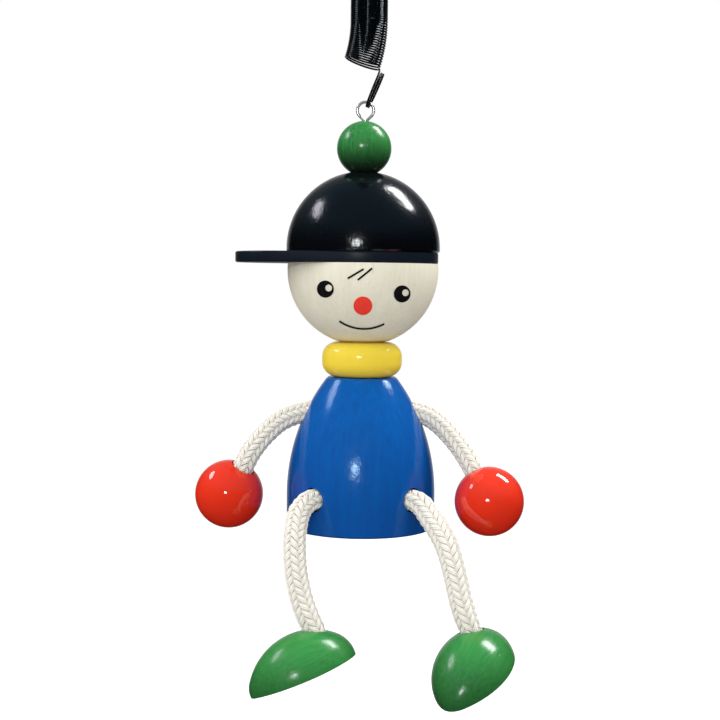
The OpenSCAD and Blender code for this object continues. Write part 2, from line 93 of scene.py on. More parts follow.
# Node trees are wired with these; a value is a number, a colour or another socket
def put(tree, node, key, value):
    if isinstance(value, bpy.types.NodeSocket):
        tree.links.new(value, node.inputs[key])
    else:
        node.inputs[key].default_value = value


def putAll(tree, node, inputs):
    for key, value in inputs.items():
        put(tree, node, key, value)


def addNode(tree, kind, inputs=None, **settings):
    node = tree.nodes.new(kind)
    for key, value in settings.items():
        setattr(node, key, value)
    putAll(tree, node, inputs or {})
    return node


def calc(tree, operation, *values):
    node = addNode(tree, "ShaderNodeMath", dict(enumerate(values)), operation=operation)
    return node.outputs[0]


def spread(tree, value, lo, hi, toLo=0.0, toHi=1.0, smooth=False):
    ends = {"Value": value, "From Min": lo, "From Max": hi, "To Min": toLo, "To Max": toHi}
    kind = "SMOOTHSTEP" if smooth else "LINEAR"
    return addNode(tree, "ShaderNodeMapRange", ends, interpolation_type=kind).outputs["Result"]


def mixColour(tree, share, first, second):
    return addNode(tree, "ShaderNodeMix", {0: share, 6: first, 7: second},
                   data_type="RGBA").outputs[2]


# A noise in the dictionaries is its scale alone, or its scale, detail, roughness and distortion
def noise(tree, vector, scale, detail=2.0, roughness=0.5, distortion=0.0):
    return addNode(tree, "ShaderNodeTexNoise", {
        "Vector": vector, "Scale": scale, "Detail": detail, "Roughness": roughness,
        "Distortion": distortion}).outputs["Fac"]


def tilted(tree, vector, turn):
    return addNode(tree, "ShaderNodeMapping", {
        "Vector": vector, "Rotation": [math.radians(a) for a in turn]}).outputs["Vector"]


# Turns the pattern so that its Z lies along a heading, dipping below level, both in degrees
def laid(tree, vector, heading, dip):
    turn = (0, math.radians(90 + dip), math.radians(heading))
    return addNode(tree, "ShaderNodeMapping", {"Vector": vector, "Rotation": turn},
                   vector_type="TEXTURE").outputs["Vector"]


def scaled(tree, vector, *sizes):
    size = addNode(tree, "ShaderNodeCombineXYZ", dict(enumerate(sizes))).outputs[0]
    return addNode(tree, "ShaderNodeVectorMath", {0: vector, 1: size},
                   operation="MULTIPLY").outputs[0]


def axisValue(tree, vector, axis):
    return addNode(tree, "ShaderNodeSeparateXYZ", {0: vector}).outputs[axis]


def newGroup(name, inputs, outputs):
    group = bpy.data.node_groups.new(name, "ShaderNodeTree")
    for label, kind in inputs.items():
        group.interface.new_socket(label, in_out="INPUT", socket_type="NodeSocket" + kind)
    for label in outputs:
        group.interface.new_socket(label, in_out="OUTPUT", socket_type="NodeSocketFloat")
    enter, leave = group.nodes.new("NodeGroupInput"), group.nodes.new("NodeGroupOutput")
    return group, enter.outputs, leave


grainSet = {
    "streak": (1.0, 4.0, 0.62, 0.3), "streakSpan": (0.32, 0.68),
    "pore": (2.7, 2.0, 0.5), "poreSpan": (0.61, 0.72), "raised": 0.4,
}


# Long streaks and short dark pores that run along Z of the vector
def makeWoodGrain(s):
    tree, given, leave = newGroup(
        "woodGrain", {"Vector": "Vector", "Fineness": "Float", "Length": "Float"},
        ["Streak", "Pore", "Height"])
    fine = given["Fineness"]
    place = scaled(tree, given["Vector"], fine, fine, calc(tree, "DIVIDE", fine, given["Length"]))
    streak = spread(tree, noise(tree, place, *s["streak"]), *s["streakSpan"])
    pore = spread(tree, noise(tree, place, *s["pore"]), *s["poreSpan"])
    raised = calc(tree, "MULTIPLY", streak, s["raised"])
    putAll(tree, leave, {"Streak": streak, "Pore": pore,
                         "Height": calc(tree, "SUBTRACT", raised, pore)})
    return tree


skinSet = {
    "drag": (1050.0, 2.0, 0.5), "dust": (2400.0, 1.0), "dustSpan": (0.66, 0.76),
    "scuff": (120.0, 4.0, 0.7), "scuffSpan": (0.5, 0.72),
}


# The skin of a brushed or dipped lacquer: slow ripples, brush drag, settled dust and scuffs
def makeLacquerSkin(s):
    tree, given, leave = newGroup(
        "lacquerSkin", {"Vector": "Vector", "Ripple": "Float", "Drag": "Float", "Orange": "Float"},
        ["Height", "Dust", "Scuff"])
    vector = given["Vector"]
    slow = noise(tree, vector, given["Ripple"])
    drawn = scaled(tree, vector, 1.0, 1.0, calc(tree, "DIVIDE", 1.0, given["Drag"]))
    height = calc(tree, "MULTIPLY_ADD", noise(tree, drawn, *s["drag"]), given["Orange"], slow)
    putAll(tree, leave, {
        "Height": height,
        "Dust": spread(tree, noise(tree, vector, *s["dust"]), *s["dustSpan"]),
        "Scuff": spread(tree, noise(tree, vector, *s["scuff"]), *s["scuffSpan"])})
    return tree


woodGrain = makeWoodGrain(grainSet)
lacquerSkin = makeLacquerSkin(skinSet)


def useGrain(tree, vector, fineness, length):
    return addNode(tree, "ShaderNodeGroup", {
        "Vector": vector, "Fineness": fineness, "Length": length}, node_tree=woodGrain).outputs


def useSkin(tree, vector, s):
    return addNode(tree, "ShaderNodeGroup", {
        "Vector": vector, "Ripple": s["ripple"], "Drag": s["drag"], "Orange": s["orange"]},
        node_tree=lacquerSkin).outputs


def newMaterial(name):
    material = bpy.data.materials.new(name)
    material.use_nodes = True
    tree = material.node_tree
    shader = next(n for n in tree.nodes if n.type == "BSDF_PRINCIPLED")
    vector = addNode(tree, "ShaderNodeTexCoord").outputs["Object"]
    return material, tree, shader, vector


# The depth is in millimetres
def addBump(tree, shader, height, depth):
    node = addNode(tree, "ShaderNodeBump", {"Distance": depth * mm, "Height": height})
    put(tree, shader, "Normal", node.outputs["Normal"])


def rgb(*parts):
    return (*parts, 1.0)


# What the paints share. "orange" is the depth of the orange-peel skin and "streak" how far the
# wood's grain shows through. "foot" is where the lower edge is, and "rise" the height above it;
# towards the foot the colour is painted darker, a painted shade of light from above.
# "edge" is how far that edge is rubbed, on the paints that have a worn colour.
paintSet = {
    "drag": 1.0, "coat": 0.0, "coatRoughness": 0.04, "shine": 0.5, "tint": rgb(1, 1, 1),
    "fineness": 700.0, "length": 16.0, "cloud": (55.0, 3.0, 0.6), "cloudShare": 0.5,
    "shadeShare": 0.6, "scuffShare": 0.4, "edge": 0.5, "edgeFrom": 0.15, "edgeTo": 0.85,
}
blueSet = paintSet | {
    "colour": rgb(0.0, 0.112, 0.43), "deep": rgb(0.004, 0.060, 0.27), "roughness": (0.15, 0.28),
    "ripple": 190.0, "drag": 1.9, "orange": 0.8, "bump": 0.06, "shine": 0.4, "streak": 0.6,
    "fineness": 520.0, "length": 34.0, "tint": rgb(0.6, 0.87, 1.0),
    "foot": hung(0, 0, 0)[2], "rise": 50,
}
redSet = paintSet | {
    "colour": rgb(0.78, 0.042, 0.014), "deep": rgb(0.60, 0.014, 0.007), "roughness": (0.05, 0.14),
    "ripple": 150.0, "orange": 0.15, "bump": 0.02, "coat": 0.45, "streak": 0.1,
    "foot": -239.6, "rise": 22.5,
}
yellowSet = paintSet | {
    "colour": rgb(0.91, 0.725, 0.064), "deep": rgb(0.82, 0.57, 0.042), "roughness": (0.15, 0.3),
    "ripple": 230.0, "orange": 0.8, "bump": 0.05, "streak": 0.25,
    "foot": hung(0, 0, 50)[2], "rise": 11.6,
}
blackSet = paintSet | {
    "colour": rgb(0.0022, 0.003, 0.005), "deep": rgb(0.001, 0.0014, 0.0025),
    "worn": rgb(0.02, 0.024, 0.032), "roughness": (0.15, 0.28),
    "ripple": 210.0, "drag": 1.3, "orange": 0.95, "bump": 0.06, "streak": 0.16,
    "foot": hung(0, 0, 91.2)[2], "rise": 27,
}
brimSet = paintSet | {
    "colour": rgb(0.007, 0.012, 0.022), "deep": rgb(0.004, 0.007, 0.014),
    "worn": rgb(0.03, 0.036, 0.05), "roughness": (0.35, 0.55),
    "ripple": 300.0, "orange": 0.6, "bump": 0.035, "shine": 0.2, "streak": 0.16,
    "foot": hung(0, 0, 87.6)[2], "rise": 3.6,
}


# Opaque lacquer over turned wood. Where it has a worn colour, the lower edge is rubbed a little.
def makePaint(name, s):
    material, tree, shader, vector = newMaterial(name)
    skin = useSkin(tree, vector, s)
    grain = useGrain(tree, vector, s["fineness"], s["length"])
    height = axisValue(tree, vector, 2)
    # Painted shade: the colour darkens towards the lower edge, as under light from above
    shade = spread(tree, height, s["foot"] * mm, (s["foot"] + s["rise"]) * mm)
    cloud = calc(tree, "MULTIPLY_ADD", noise(tree, vector, *s["cloud"]), s["cloudShare"],
                 calc(tree, "MULTIPLY", shade, s["shadeShare"]))
    colour = mixColour(tree, cloud, s["deep"], s["colour"])
    streak = calc(tree, "MULTIPLY", grain["Streak"], s["streak"])
    colour = mixColour(tree, streak, colour, s["deep"])
    if "worn" in s:
        rim = spread(tree, height, (s["foot"] + s["edgeFrom"]) * mm,
                     (s["foot"] + s["edgeTo"]) * mm, s["edge"], 0.0)
        colour = mixColour(tree, calc(tree, "MULTIPLY", rim, skin["Scuff"]), colour, s["worn"])
    matt = calc(tree, "MAXIMUM", skin["Dust"],
                calc(tree, "MULTIPLY", skin["Scuff"], s["scuffShare"]))
    putAll(tree, shader, {
        "Base Color": colour, "Roughness": spread(tree, matt, 0.0, 1.0, *s["roughness"]),
        "Specular IOR Level": s["shine"], "Specular Tint": s["tint"],
        "Coat Weight": s["coat"], "Coat Roughness": s["coatRoughness"]})
    addBump(tree, shader, skin["Height"], s["bump"])
    return material


# From "low" down the stain is painted darkest, a painted shade under the piece, and from "high" up
# it is even
greenSet = {
    "pompom": {"grain": (0, -90), "fineness": 1300.0, "length": 12.0, "contrast": (0.25, 0.8),
               "low": hung(0, 0, 117.5)[2], "high": hung(0, 0, 129)[2], "paintedShade": 0.97},
    "leftFoot": {
        "grain": (242.3, 21.5), "fineness": 1000.0, "length": 26.0, "contrast": (0.2, 0.55),
        "low": hung(0, 0, -46)[2], "high": hung(0, 0, -24)[2], "paintedShade": 0.6},
    "rightFoot": {
        "grain": (200, 18.8), "fineness": 1000.0, "length": 26.0, "contrast": (0.2, 0.55),
        "low": hung(0, 0, -45)[2], "high": hung(0, 0, -30)[2], "paintedShade": 0.55},
    "colour": rgb(0.037, 0.262, 0.052), "deep": rgb(0.010, 0.10, 0.026),
    "pore": rgb(0.004, 0.04, 0.011), "shadeGreen": rgb(0.008, 0.014, 0.009),
    "ripple": 240.0, "drag": 2.0, "orange": 0.3, "cloud": (70.0, 3.0, 0.6),
    "cloudSpan": (0.3, 0.7), "poreShare": 0.6, "roughness": (0.2, 0.32), "raised": 0.4,
    "bump": 0.05,
}


# Clear green stain that lets the grain show, under a thin varnish
def makeStain(name, s, piece):
    material, tree, shader, vector = newMaterial(name)
    turned = laid(tree, vector, *piece["grain"])
    grain = useGrain(tree, turned, piece["fineness"], piece["length"])
    skin = useSkin(tree, vector, s)
    cloud = spread(tree, noise(tree, vector, *s["cloud"]), *s["cloudSpan"], *piece["contrast"])
    share = calc(tree, "MULTIPLY", grain["Streak"], cloud)
    colour = mixColour(tree, share, s["colour"], s["deep"])
    pore = calc(tree, "MULTIPLY", grain["Pore"], s["poreShare"] * piece["contrast"][1])
    colour = mixColour(tree, pore, colour, s["pore"])
    # Painted shade: darker towards the bottom of the pompom and the feet
    paintedShade = spread(tree, axisValue(tree, vector, 2), piece["low"] * mm, piece["high"] * mm,
                     piece["paintedShade"], 0.0, smooth=True)
    putAll(tree, shader, {
        "Base Color": mixColour(tree, paintedShade, colour, s["shadeGreen"]),
        "Roughness": spread(tree, skin["Scuff"], 0.0, 1.0, *s["roughness"])})
    height = calc(tree, "MULTIPLY_ADD", grain["Height"], s["raised"], skin["Height"])
    addBump(tree, shader, height, s["bump"])
    return material


headSet = {
    "colour": rgb(0.83, 0.80, 0.65), "streak": rgb(0.73, 0.68, 0.525),
    "pore": rgb(0.5, 0.4, 0.27), "turn": (3, -4, 0),
    "fineness": 900.0, "length": 26.0, "fineShare": 0.35,
    "broadFineness": 220.0, "broadLength": 9.0, "broadShare": 0.4, "poreShare": 0.25,
    "neck": rgb(0.60, 0.33, 0.06), "neckTop": hung(0, 0, 62)[2], "neckSpan": (-0.1, 0.5),
    "roughness": (0.48, 0.62), "shine": 0.35, "bump": 0.012,
}


# Bare pale wood with a satin finish; the short neck is painted tan, a painted shade with a painted
# yellow reflection of the collar
def makeHeadWood(s):
    material, tree, shader, vector = newMaterial("headWood")
    turned = tilted(tree, vector, s["turn"])
    grain = useGrain(tree, turned, s["fineness"], s["length"])
    broad = useGrain(tree, turned, s["broadFineness"], s["broadLength"])
    share = calc(tree, "MULTIPLY_ADD", grain["Streak"], s["fineShare"],
                 calc(tree, "MULTIPLY", broad["Streak"], s["broadShare"]))
    colour = mixColour(tree, share, s["colour"], s["streak"])
    pore = calc(tree, "MULTIPLY", grain["Pore"], s["poreShare"])
    colour = mixColour(tree, pore, colour, s["pore"])
    # Painted shade and painted collar reflection on the neck, fading out just above the collar
    below, above = s["neckSpan"]
    neck = spread(tree, axisValue(tree, vector, 2), (s["neckTop"] + below) * mm,
                  (s["neckTop"] + above) * mm, 1.0, 0.0)
    putAll(tree, shader, {
        "Base Color": mixColour(tree, neck, colour, s["neck"]),
        "Roughness": spread(tree, grain["Streak"], 0.0, 1.0, *s["roughness"]),
        "Specular IOR Level": s["shine"]})
    addBump(tree, shader, grain["Height"], s["bump"])
    return material


inkSet = {
    "black": {"colour": rgb(0.004, 0.004, 0.006), "thin": rgb(0.012, 0.011, 0.012), "shine": 0.12},
    "red": {"colour": rgb(0.86, 0.035, 0.020), "thin": rgb(0.86, 0.07, 0.035), "shine": 0.25},
    "fineness": 1400.0, "length": 10.0, "thinShare": 0.5, "roughness": (0.45, 0.6),
    "bump": 0.008,
}


# Pad-printed ink, a little thinner where the wood's grain shows through
def makeInk(name, s, ink):
    material, tree, shader, vector = newMaterial(name)
    grain = useGrain(tree, vector, s["fineness"], s["length"])
    share = calc(tree, "MULTIPLY", grain["Streak"], s["thinShare"])
    putAll(tree, shader, {
        "Base Color": mixColour(tree, share, ink["colour"], ink["thin"]),
        "Roughness": spread(tree, grain["Streak"], 0.0, 1.0, *s["roughness"]),
        "Specular IOR Level": ink["shine"]})
    addBump(tree, shader, grain["Height"], s["bump"])
    return material


# The coil has to reflect a lot, because its curls stand in rows
wireSet = {
    "eye": {"colour": rgb(0.72, 0.70, 0.67), "worn": rgb(0.46, 0.41, 0.36), "metal": 0.7,
            "roughness": (0.12, 0.3), "shine": 0.5, "cloud": (420.0, 3.0, 0.6),
            "cloudSpan": (0.5, 0.8), "drawn": 1500.0},
    "coil": {"colour": rgb(0.055, 0.06, 0.066), "worn": rgb(0.11, 0.11, 0.12), "metal": 1.0,
             "roughness": (0.12, 0.26), "shine": 0.5, "cloud": (500.0, 4.0, 0.65),
             "cloudSpan": (0.55, 0.85), "drawn": 900.0},
    "loop": {"colour": rgb(0.003, 0.0032, 0.004), "worn": rgb(0.012, 0.012, 0.013), "metal": 0.0,
             "roughness": (0.35, 0.5), "shine": 0.2, "cloud": (500.0, 4.0, 0.65),
             "cloudSpan": (0.55, 0.85), "drawn": 900.0},
    "bump": 0.006,
}


# Drawn wire, nearly smooth, with faint stains or rubbed places
def makeWire(name, s, wire):
    material, tree, shader, vector = newMaterial(name)
    cloud = spread(tree, noise(tree, vector, *wire["cloud"]), *wire["cloudSpan"])
    putAll(tree, shader, {
        "Base Color": mixColour(tree, cloud, wire["colour"], wire["worn"]),
        "Roughness": spread(tree, cloud, 0.0, 1.0, *wire["roughness"]),
        "Metallic": wire["metal"], "Specular IOR Level": wire["shine"]})
    addBump(tree, shader, noise(tree, vector, wire["drawn"]), s["bump"])
    return material


dowelSet = {
    "colour": rgb(0.66, 0.5, 0.3), "streak": rgb(0.5, 0.34, 0.18), "fineness": 1600.0,
    "length": 18.0, "roughness": (0.6, 0.8), "bump": 0.03,
}


# The dowel is out of sight inside the figure
def makeDowelWood(s):
    material, tree, shader, vector = newMaterial("dowelWood")
    grain = useGrain(tree, vector, s["fineness"], s["length"])
    putAll(tree, shader, {
        "Base Color": mixColour(tree, grain["Streak"], s["colour"], s["streak"]),
        "Roughness": spread(tree, grain["Pore"], 0.0, 1.0, *s["roughness"])})
    addBump(tree, shader, grain["Height"], s["bump"])
    return material


cottonSet = {
    "colour": rgb(0.87, 0.845, 0.775), "shade": rgb(0.74, 0.70, 0.60),
    "cloud": (500.0, 2.0), "cloudSpan": (0.3, 0.7), "cloudShare": 0.2, "ownShare": 0.15,
    "twist": 1.5, "plies": 2,  # turns of the yarn per millimetre, and grooves round it
    "grooveSpan": (-1.0, -0.2), "grooveShare": 0.25,
    "fleck": rgb(0.55, 0.45, 0.34), "flecks": (900.0, 1.0), "fleckSpan": (0.8, 0.86),
    "fleckShare": 0.4,
    # Painted shade: the next colour darkens yarns where a strand dives under others, and the core
    # in the gaps
    "creaseShade": rgb(0.64, 0.60, 0.51), "creaseShadeSpan": (0.35, 0.85),  # where a strand dives under others
    "fuzz": (5200.0, 3.0, 0.7), "fuzzSpan": (0.3, 0.7), "roughness": (0.8, 0.95),
    "sheen": 0.15, "sheenRoughness": 0.5, "fuzzHeight": 0.8, "twistHeight": 0.5, "bump": 0.03,
}


# Spun cotton: U counts the yarns and goes round each one, V is millimetres along it
def makeCotton(s):
    material, tree, shader, vector = newMaterial("ropeCotton")
    place = addNode(tree, "ShaderNodeUVMap", uv_map="yarnMap").outputs["UV"]
    around, along = (axisValue(tree, place, i) for i in range(2))
    turn = calc(tree, "ADD", around, calc(tree, "MULTIPLY", along, s["twist"]))
    twist = calc(tree, "SINE", calc(tree, "MULTIPLY", turn, s["plies"] * 2 * math.pi))
    own = addNode(tree, "ShaderNodeTexWhiteNoise", {"W": calc(tree, "FLOOR", around)},
                  noise_dimensions="1D").outputs["Value"]
    cloud = spread(tree, noise(tree, vector, *s["cloud"]), *s["cloudSpan"])
    tone = calc(tree, "MULTIPLY_ADD", own, s["ownShare"],
                calc(tree, "MULTIPLY", cloud, s["cloudShare"]))
    colour = mixColour(tree, tone, s["colour"], s["shade"])
    # Painted shade in the grooves between the plies
    groove = spread(tree, twist, *s["grooveSpan"], s["grooveShare"], 0.0)
    colour = mixColour(tree, groove, colour, s["shade"])
    fleck = spread(tree, noise(tree, vector, *s["flecks"]), *s["fleckSpan"], 0.0, s["fleckShare"])
    colour = mixColour(tree, fleck, colour, s["fleck"])
    relief = addNode(tree, "ShaderNodeAttribute", attribute_name="relief").outputs["Fac"]
    # Painted shade in the crevices, from the relief
    creaseShade = spread(tree, relief, *s["creaseShadeSpan"], 1.0, 0.0)
    fuzz = noise(tree, vector, *s["fuzz"])
    putAll(tree, shader, {
        "Base Color": mixColour(tree, creaseShade, colour, s["creaseShade"]),
        "Roughness": spread(tree, fuzz, *s["fuzzSpan"], *s["roughness"]),
        "Sheen Weight": s["sheen"], "Sheen Roughness": s["sheenRoughness"]})
    height = calc(tree, "MULTIPLY_ADD", fuzz, s["fuzzHeight"],
                  calc(tree, "MULTIPLY", twist, s["twistHeight"]))
    addBump(tree, shader, height, s["bump"])
    return material


finishes = {
    "spring_black": makeWire("coilBlack", wireSet, wireSet["coil"]),
    "plain_steel": makeWire("eyeSteel", wireSet, wireSet["eye"]),
    "black_gloss": makePaint("capBlack", blackSet),
    "black_satin": makePaint("brimBlack", brimSet),
    "bare_wood": makeHeadWood(headSet),
    "black_ink": makeInk("inkBlack", inkSet, inkSet["black"]),
    "red_ink": makeInk("inkRed", inkSet, inkSet["red"]),
    "yellow_gloss": makePaint("collarYellow", yellowSet),
    "blue_gloss": makePaint("torsoBlue", blueSet),
    "dowel_wood": makeDowelWood(dowelSet),
    "cotton_rope": makeCotton(cottonSet),
    "red_gloss": makePaint("handRed", redSet),
}
loopBlack = makeWire("loopBlack", wireSet, wireSet["loop"])
ownFinish = {
    "spring_top_loop": loopBlack,
    "spring_bottom_loop": loopBlack,
    "pompom_ball": makeStain("pompomGreen", greenSet, greenSet["pompom"]),
    "left_foot": makeStain("leftFootGreen", greenSet, greenSet["leftFoot"]),
    "right_foot": makeStain("rightFootGreen", greenSet, greenSet["rightFoot"]),
}


def dress(piece, material):
    if piece.material_slots:
        for slot in piece.material_slots:
            slot.material = material
    else:
        piece.data.materials.append(material)


slotOf = {part["node"]: part["material_slot"] for part in frame["record"]["subparts"]}
for name, node in frame["nodes"].items():
    dress(node, ownFinish.get(name) or finishes[slotOf[name]])
print("materials made, and", len(frame["nodes"]), "nodes dressed")


# Small tools for tubes that follow a line
def unit(v):
    v = np.array(v, float)
    return v / np.linalg.norm(v)


def curvePoint(a, b, c, d, t):
    return 0.5 * (2 * b + (c - a) * t + (2 * a - 5 * b + 4 * c - d) * t * t
                  + (3 * b - a - 3 * c + d) * t ** 3)


# Points a set distance apart on the smooth line through the given ones, and how far along each is
def smoothLine(points, step, parts=40):
    p = [np.array(q, float) for q in points]
    fine = []
    for i in range(len(p) - 1):
        around = p[max(i - 1, 0)], p[i], p[i + 1], p[min(i + 2, len(p) - 1)]
        fine += [curvePoint(*around, j / parts) for j in range(parts)]
    fine = np.array(fine + [p[-1]])
    run = np.concatenate([[0], np.cumsum(np.linalg.norm(np.diff(fine, axis=0), axis=1))])
    at = np.linspace(0, run[-1], int(round(run[-1] / step)) + 1)
    return np.stack([np.interp(at, run, fine[:, k]) for k in range(3)], axis=1), at


def directions(line):
    along = np.gradient(line, axis=0)
    return along / np.linalg.norm(along, axis=1)[:, None]


# Side vectors carried along the line without twist
def carriedSides(along, side):
    sides = []
    for t in along:
        side = unit(side - (side @ t) * t)
        sides.append(side)
    return np.array(sides)


def squared(vectors, along):
    vectors = vectors - (vectors * along).sum(1)[:, None] * along
    return vectors / np.linalg.norm(vectors, axis=1)[:, None]


def tubeRings(line, along, sides, radius, n):
    turn = (np.arange(n) / n * 2 * np.pi)[None, :, None]
    other = np.cross(along, sides)
    ring = np.cos(turn) * sides[:, None] + np.sin(turn) * other[:, None]
    return (line[:, None] + np.reshape(radius, (-1, 1, 1)) * ring).reshape(-1, 3)


def tubeFaces(rings, n, first=0):
    i, k = np.meshgrid(np.arange(rings - 1), np.arange(n), indexing="ij")
    a, b = first + i * n + k, first + i * n + (k + 1) % n
    walls = np.stack([a, b, b + n, a + n], axis=-1).reshape(-1, 4).tolist()
    last = first + (rings - 1) * n
    return walls + [list(range(first + n - 1, first - 1, -1)), list(range(last, last + n))]


# The walls, all with four corners, are shaded smooth; the ends, with more, stay flat
def newPiece(name, points, faces, material):
    mesh = bpy.data.meshes.new(name)
    mesh.from_pydata((np.array(points) * mm).tolist(), [], faces)
    mesh.update()
    mesh.shade_smooth()
    piece = bpy.data.objects.new(name, mesh)
    scene.collection.objects.link(piece)
    mesh.materials.append(material)
    form = bmesh.new()
    form.from_mesh(mesh)
    for face in form.faces:
        if len(face.verts) > 4:
            face.smooth = False
            for edge in face.edges:
                edge.smooth = False
    form.to_mesh(mesh)
    form.free()
    return piece


springSet = {
    "radius": 5.875, "wire": 0.65, "coilLen": 72.0, "bend": 18.0, "bendLen": 14.0,
    "endX": 0.5629, "midZ": -49.4276,  # where the coil's ends and its middle are
    "pitch": 0.6577, "samples": 4000, "ringsPerTurn": 24, "sides": 8,
    "loopCentre": (2.2956, 0, -93.7722), "loopLean": 23.0, "loopLead": 1.0, "coilSide": -1.1,
    "loopTurns": 2, "loopPitch": 0.667, "loopStart": -0.42, "loopRings": 60,
    "crossing": 10,  # the higher, the sooner the loop's wire has crossed over
}


# Close-wound curls; in the bent ends the pitch opens, so that they still touch on the inside
def coilLine(s):
    bendR = s["bendLen"] / math.radians(s["bend"])
    run = np.linspace(0, s["coilLen"], s["samples"])
    lean = np.where(run < s["bendLen"], s["bend"] * (1 - run / s["bendLen"]), 0.0)
    rest = s["coilLen"] - run
    lean = np.radians(np.where(rest < s["bendLen"], s["bend"] * (rest / s["bendLen"] - 1), lean))
    bent = (run < s["bendLen"]) | (rest < s["bendLen"])
    pitch = np.where(bent, s["pitch"] / (1 - s["radius"] / bendR), s["pitch"])
    turns = np.concatenate([[0], np.cumsum(np.diff(run) / ((pitch[1:] + pitch[:-1]) / 2))])
    turns *= round(turns[-1]) / turns[-1]
    half = s["coilLen"] / 2 - s["bendLen"]
    height = np.where(lean > 0, half + bendR * np.sin(lean),
                      np.where(lean < 0, bendR * np.sin(lean) - half, s["coilLen"] / 2 - run))
    middle = s["endX"] - bendR * (1 - np.cos(lean))
    at = np.linspace(0, turns[-1], int(round(turns[-1])) * s["ringsPerTurn"] + 1)
    lean, middle, height = (np.interp(at, turns, v) for v in (lean, middle, height))
    turn = 2 * np.pi * at
    sides = np.stack([np.cos(turn) * np.cos(lean), -np.sin(turn), np.cos(turn) * np.sin(lean)], 1)
    centres = np.stack([middle, 0 * at, s["midZ"] + height], 1)
    return centres + s["radius"] * sides, sides, round(turns[-1])


# The loop leans out from the coil. Its first eighth of a turn crosses over from the last curl.
def loopLine(s):
    lean = math.radians(s["loopLean"])
    down = np.array([-math.sin(lean), 0, -math.cos(lean)])
    across = np.array([math.cos(lean), 0, -math.sin(lean)])
    turn = np.linspace(0, 2 * np.pi * s["loopTurns"], s["loopTurns"] * s["loopRings"] + 1)
    first = np.where(turn < np.pi / 2, np.cos(turn) ** s["crossing"], 0)
    sides = -np.cos(turn)[:, None] * down - np.sin(turn)[:, None] * np.array([0, 1, 0])
    shift = s["loopStart"] + s["loopPitch"] * turn / (2 * np.pi)
    shift += (s["coilSide"] - s["loopStart"]) * first
    reach = s["radius"] + s["loopLead"] * np.where(turn < np.pi / 2, np.cos(turn) ** 2, 0)
    return np.array(s["loopCentre"]) + shift[:, None] * across + reach[:, None] * sides, sides


def wireTube(name, line, sides, material, s):
    along = directions(line)
    points = tubeRings(line, along, squared(sides, along), s["wire"] / 2, s["sides"])
    return newPiece(name, points, tubeFaces(len(line), s["sides"]), material)


def makeSpring(s):
    line, sides, turns = coilLine(s)
    coil = wireTube("spring_coil_wound", line, sides, finishes["spring_black"], s)
    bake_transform(coil)
    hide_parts("spring_coil")
    loop, loopSides = loopLine(s)
    over = np.array([1, -1, -1])
    places = {"spring_bottom_loop": (loop, loopSides, "spring_end"),
              "spring_top_loop": (loop * over + [0, 0, 2 * s["midZ"]], loopSides * over, "hanger")}
    for node, (line, sides, body) in places.items():
        piece = wireTube(node + "_wound", line, sides, ownFinish[node], s)
        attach(piece, body)
        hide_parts(node)
    return turns


print("spring wound:", makeSpring(springSet), "turns and two loops")


ropeSet = {
    "strands": 8,  # each way round, each strand over two and under two
    "yarns": 3, "yarnGap": 0.43, "yarnRadius": 0.34, "yarnSides": 6, "crown": 0.12,
    "angle": 41.0, "meanRadius": 2.65, "lift": 0.48, "ringStep": 0.32, "phase": 0.25,
    "sideRelief": 0.12, "coreRadius": 2.15, "coreSides": 16,
    "mapInset": 0.01, "coreMap": 99.5,  # in U, where each whole number is a yarn
    "bendLen": 13.0, "bendInside": 2.0, "lead": 3.0, "swellIn": 9.0, "swellOut": 5.0,
}
armHole, legHole = 9.9, 11.9


# A heading turned from straight ahead towards the figure's left, and falling below level
def sideways(turn, fall=0):
    turn, fall = math.radians(turn), math.radians(fall)
    return math.sin(turn) * math.cos(fall), -math.cos(turn) * math.cos(fall), -math.sin(fall)


